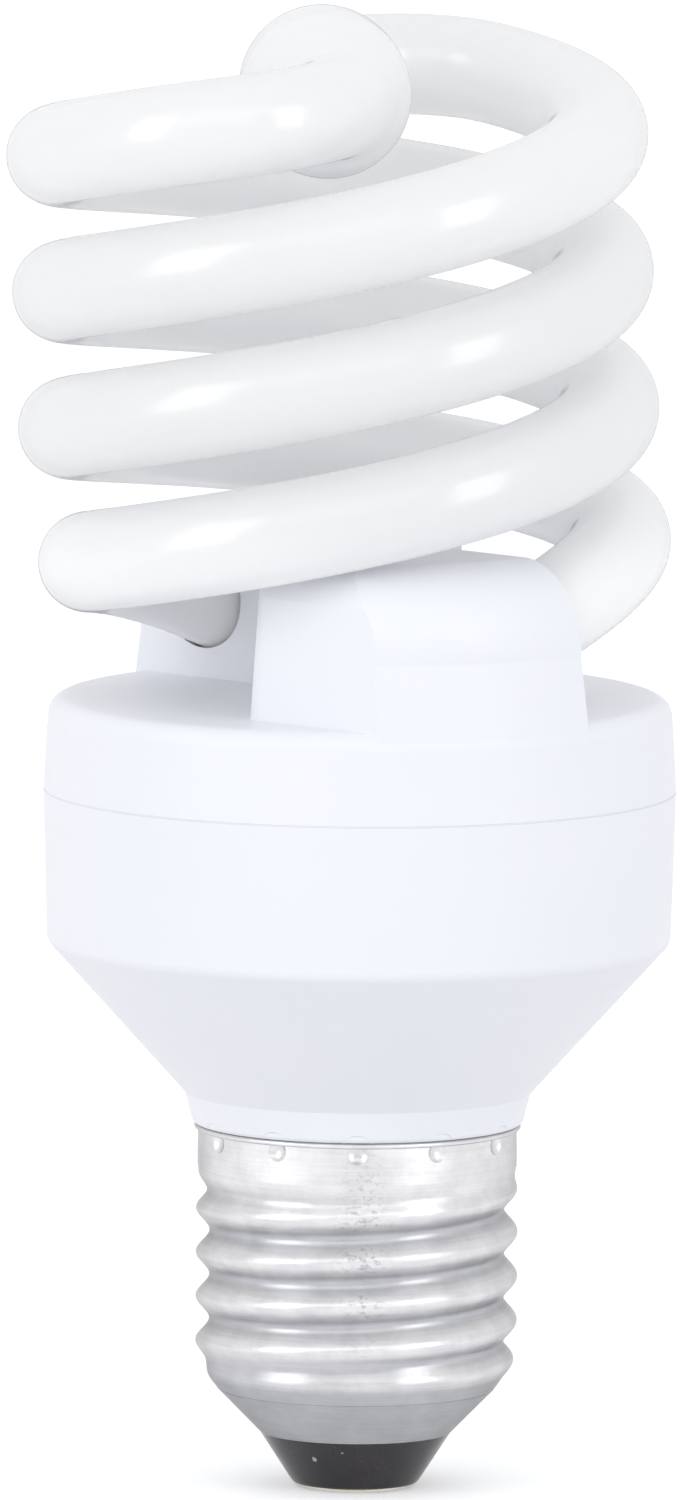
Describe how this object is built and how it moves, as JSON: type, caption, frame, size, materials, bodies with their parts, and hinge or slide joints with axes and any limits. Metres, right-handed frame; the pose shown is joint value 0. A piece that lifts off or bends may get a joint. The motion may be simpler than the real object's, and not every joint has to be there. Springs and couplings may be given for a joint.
{
  "type": "spiral energy saving bulb",
  "caption": "Compact fluorescent lamp: white glass tube wound as a double helix on a moulded housing with a threaded screw cap.",
  "frame": {"origin": "on the lamp's axis, at the underside of the centre contact, which is the lowest point", "axes": "+Z along the lamp's axis from the cap to the glass tube; -Y is the side that the picture shows; +X is to the right in the picture"},
  "size_m": [0.0547, 0.0525, 0.1211],
  "materials": {
    "tube_glass": "gloss opal white, coated inside",
    "housing_plastic": "satin moulded, faintly blue white",
    "cap_metal": "satin rolled sheet",
    "insulator_black": "gloss black",
    "contact_metal": "tinned, satin",
    "cement": "dull white",
    "board_laminate": "satin",
    "black_case": "satin",
    "can_sleeve": "gloss dark blue sleeve",
    "ferrite": "dull dark grey",
    "bobbin_plastic": "satin",
    "copper": "enamelled copper",
    "film_coating": "gloss brown red",
    "resistor_coating": "gloss tan",
    "disc_coating": "gloss green",
    "lead_wire": "tinned"
  },
  "bodies": {
    "root": {"glass_spiral_tube": "tube_glass", "upper_cover": "housing_plastic", "lower_housing": "housing_plastic", "cap_shell": "cap_metal", "cap_insulator": "insulator_black", "centre_contact": "contact_metal", "tube_cement": "cement", "circuit_board": "board_laminate", "bulk_capacitor": "can_sleeve", "choke_core": "ferrite", "choke_bobbin": "bobbin_plastic", "choke_winding": "copper", "drive_toroid": "ferrite", "toroid_windings": "copper", "transistor_1": "black_case", "transistor_2": "black_case", "resonant_capacitor": "film_coating", "start_capacitor": "film_coating", "rectifier_diodes": "black_case", "resistors": "resistor_coating", "diac": "black_case", "thermistor": "disc_coating", "filter_inductor": "ferrite", "fusible_resistor": "resistor_coating", "wire_posts": "lead_wire", "electrode_wires": "lead_wire", "contact_wire": "lead_wire", "shell_wire": "lead_wire"}
  },
  "joints": []
}
